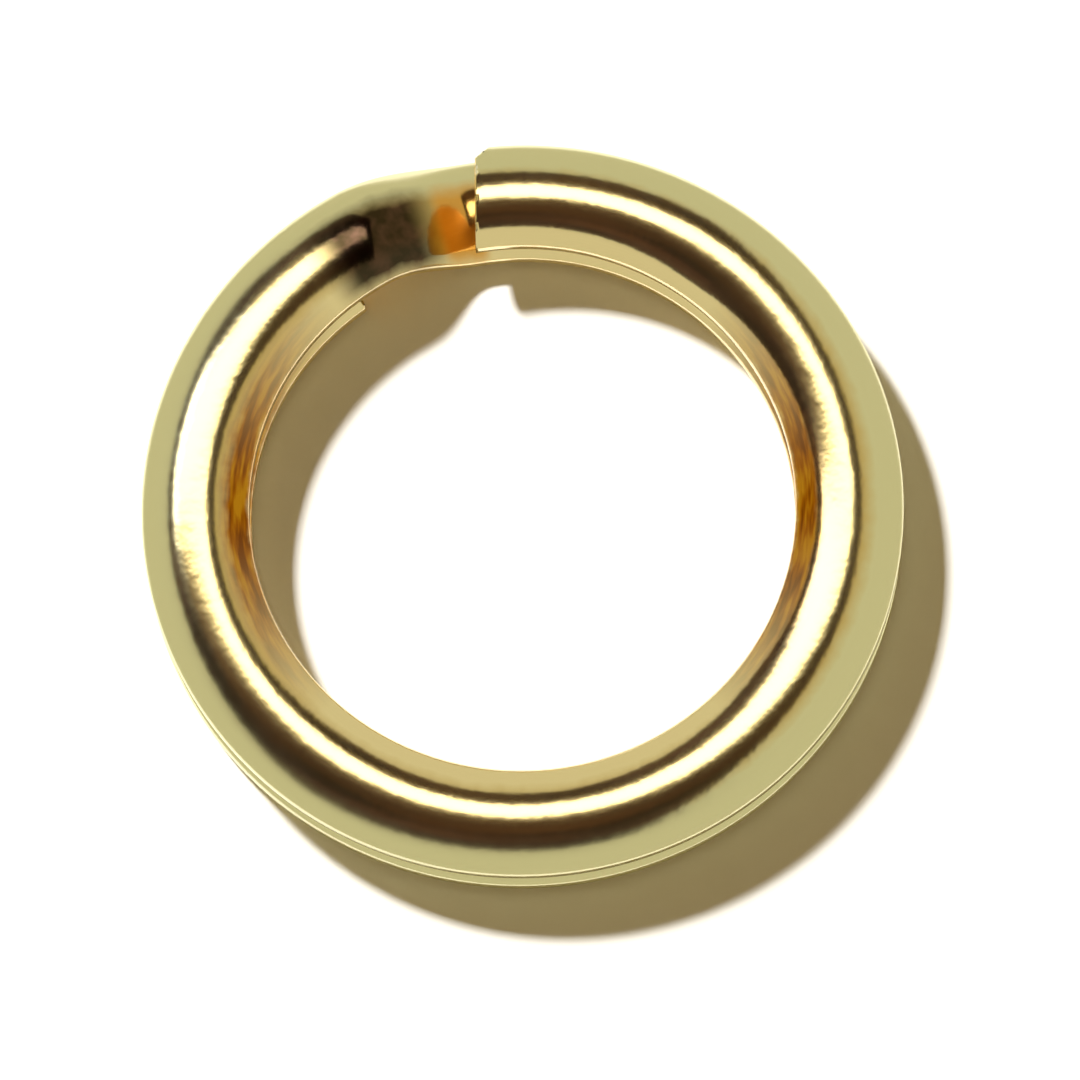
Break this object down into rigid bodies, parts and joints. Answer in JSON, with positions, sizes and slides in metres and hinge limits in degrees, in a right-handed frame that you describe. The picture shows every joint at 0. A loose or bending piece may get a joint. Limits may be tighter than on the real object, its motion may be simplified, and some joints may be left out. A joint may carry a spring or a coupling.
{
  "type": "split ring",
  "caption": "Sprung oval-wire ring of overlapping turns whose cut ends prise apart to thread on a key, tag or charm.",
  "frame": {"origin": "on the ring's axis, at the level of the lower turn's underside", "axes": "+Z along the ring's axis, from the lower turn to the upper one; the upper turn's cut end lies just to the -X side of +Y"},
  "size_m": [0.012, 0.012, 0.0013],
  "materials": {
    "gold_plated_wire": "polished pale gold plate"
  },
  "bodies": {
    "lower_end": {"lower_tip": "gold_plated_wire", "lower_stretch_1": "gold_plated_wire"},
    "lower_run_2": {"lower_stretch_2": "gold_plated_wire"},
    "lower_run_3": {"lower_stretch_3": "gold_plated_wire"},
    "lower_run_4": {"lower_stretch_4": "gold_plated_wire"},
    "lower_run_5": {"lower_stretch_5": "gold_plated_wire"},
    "middle": {"lower_shoulder": "gold_plated_wire", "crossover": "gold_plated_wire", "upper_shoulder": "gold_plated_wire"},
    "upper_run_5": {"upper_stretch_5": "gold_plated_wire"},
    "upper_run_4": {"upper_stretch_4": "gold_plated_wire"},
    "upper_run_3": {"upper_stretch_3": "gold_plated_wire"},
    "upper_run_2": {"upper_stretch_2": "gold_plated_wire"},
    "upper_end": {"upper_stretch_1": "gold_plated_wire", "upper_tip": "gold_plated_wire"}
  },
  "joints": [
    {"name": "lower_twist_1", "type": "hinge", "parent": "lower_end", "child": "lower_run_2", "pos_m": [-0.00514, -0.00036, 0.00031], "axis": [0.0698, -0.9976, 0], "range_deg": [0, 1]},
    {"name": "lower_twist_2", "type": "hinge", "parent": "lower_run_2", "child": "lower_run_3", "pos_m": [-0.00226, -0.00463, 0.00031], "axis": [0.8988, -0.4384, 0], "range_deg": [0, 3]},
    {"name": "lower_end_open", "type": "hinge", "parent": "lower_run_3", "child": "lower_run_4", "pos_m": [0.00288, -0.00427, 0.00031], "axis": [0.829, 0.5592, 0], "range_deg": [0, 4], "stiffness_Nm_per_rad": 0.0003},
    {"name": "lower_twist_4", "type": "hinge", "parent": "lower_run_4", "child": "lower_run_5", "pos_m": [0.00514, 0.00036, 0.00031], "axis": [-0.0698, 0.9976, 0], "range_deg": [0, 3]},
    {"name": "lower_twist_5", "type": "hinge", "parent": "lower_run_5", "child": "middle", "pos_m": [0.00226, 0.00463, 0.00031], "axis": [-0.8988, 0.4384, 0], "range_deg": [0, 1]},
    {"name": "upper_twist_5", "type": "hinge", "parent": "middle", "child": "upper_run_5", "pos_m": [-0.00479, 0.0019, 0.00098], "axis": [-0.3681, -0.9298, 0], "range_deg": [0, 1]},
    {"name": "upper_twist_4", "type": "hinge", "parent": "upper_run_5", "child": "upper_run_4", "pos_m": [-0.00404, -0.0032, 0.00098], "axis": [0.6211, -0.7837, 0], "range_deg": [0, 3]},
    {"name": "upper_end_open", "type": "hinge", "parent": "upper_run_4", "child": "upper_run_3", "pos_m": [0.00075, -0.00509, 0.00098], "axis": [0.9893, 0.1461, 0], "range_deg": [0, 4], "stiffness_Nm_per_rad": 0.0003},
    {"name": "upper_twist_2", "type": "hinge", "parent": "upper_run_3", "child": "upper_run_2", "pos_m": [0.00479, -0.0019, 0.00098], "axis": [0.3681, 0.9298, 0], "range_deg": [0, 3]},
    {"name": "upper_twist_1", "type": "hinge", "parent": "upper_run_2", "child": "upper_end", "pos_m": [0.00404, 0.0032, 0.00098], "axis": [-0.6211, 0.7837, 0], "range_deg": [0, 1]}
  ],
  "couplings": [
    {"joint": "lower_twist_1", "follows": "lower_end_open", "ratio": 0.25},
    {"joint": "lower_twist_2", "follows": "lower_end_open", "ratio": 0.75},
    {"joint": "lower_twist_4", "follows": "lower_end_open", "ratio": 0.75},
    {"joint": "lower_twist_5", "follows": "lower_end_open", "ratio": 0.25},
    {"joint": "upper_twist_1", "follows": "upper_end_open", "ratio": 0.25},
    {"joint": "upper_twist_2", "follows": "upper_end_open", "ratio": 0.75},
    {"joint": "upper_twist_4", "follows": "upper_end_open", "ratio": 0.75},
    {"joint": "upper_twist_5", "follows": "upper_end_open", "ratio": 0.25}
  ]
}
